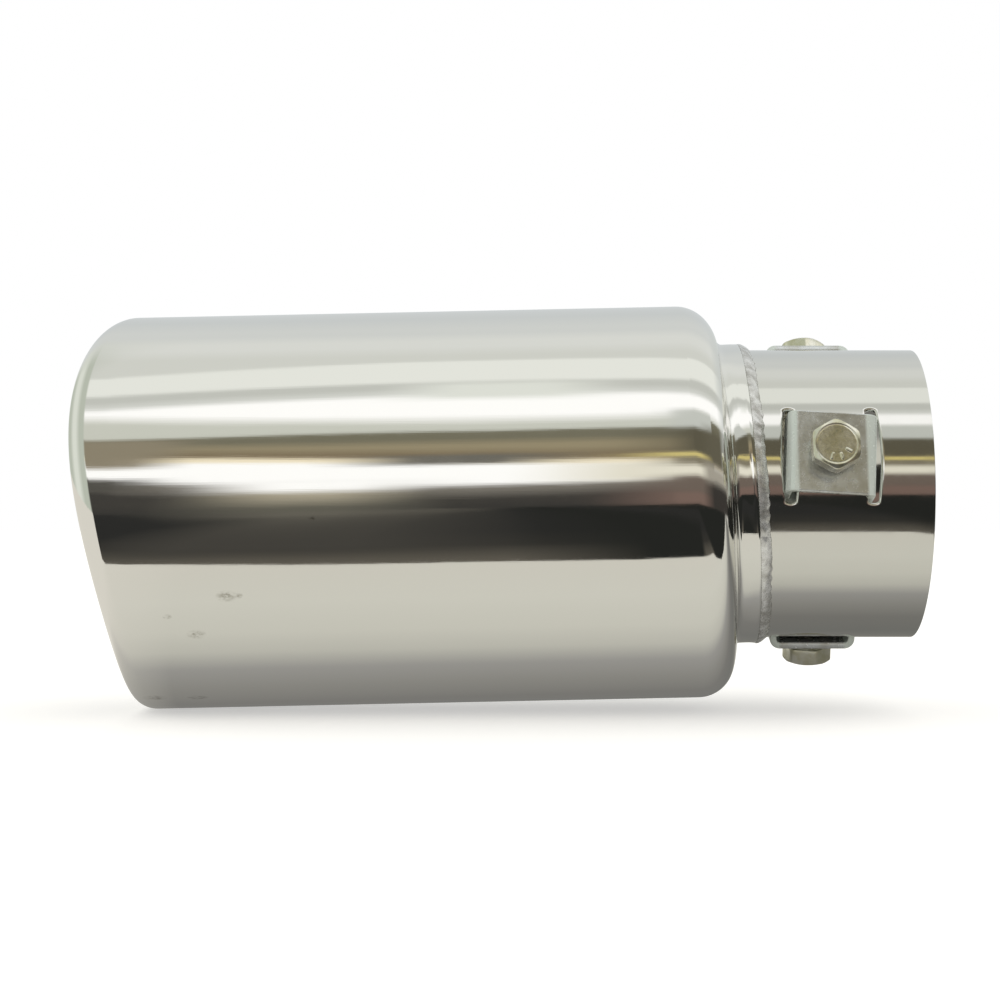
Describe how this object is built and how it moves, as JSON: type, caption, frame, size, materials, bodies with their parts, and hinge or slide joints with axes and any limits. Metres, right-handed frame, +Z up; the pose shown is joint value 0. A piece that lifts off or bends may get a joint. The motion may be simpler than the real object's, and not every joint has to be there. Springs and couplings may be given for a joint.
{
  "type": "exhaust tip",
  "caption": "Polished stainless exhaust tip with a rolled, slash-cut outlet, a spun shoulder and a slotted inlet tube whose bolts grip the tailpipe",
  "frame": {"origin": "centre of the inlet tube's mouth, on the tube's axis", "axes": "+X along the tube's axis out of the inlet's mouth, the outlet at -X; +Z up as the tip lies in the picture; -Y towards the picture's camera"},
  "size_m": [0.1839, 0.0886, 0.0909],
  "materials": {
    "polished_stainless": "mirror polished stainless steel",
    "tube_stainless": "polished stainless steel",
    "weld_metal": "rippled weld, brushed over",
    "strip_steel": "bent strip, zinc plated and tinted",
    "zinc_steel": "yellow-tinted zinc plate"
  },
  "bodies": {
    "tip": {"outlet_can": "polished_stainless", "inlet_tube": "tube_stainless", "weld_bead": "weld_metal", "clip_front": "strip_steel", "clip_top": "strip_steel", "clip_bottom": "strip_steel", "nut_front": "zinc_steel", "nut_top": "zinc_steel", "nut_bottom": "zinc_steel"},
    "front_bolt": {"bolt_front": "zinc_steel"},
    "top_bolt": {"bolt_top": "zinc_steel"},
    "bottom_bolt": {"bolt_bottom": "zinc_steel"}
  },
  "joints": [
    {"name": "front_bolt_feed", "type": "slide", "parent": "tip", "child": "front_bolt", "axis": [0, -0.9659, 0.2588], "range_m": [-0.0024, 0.0054]},
    {"name": "top_bolt_feed", "type": "slide", "parent": "tip", "child": "top_bolt", "axis": [0, 0.4695, 0.8829], "range_m": [-0.0005, 0.0073]},
    {"name": "bottom_bolt_feed", "type": "slide", "parent": "tip", "child": "bottom_bolt", "axis": [0, 0.2504, -0.9681], "range_m": [-0.0013, 0.0065]}
  ]
}
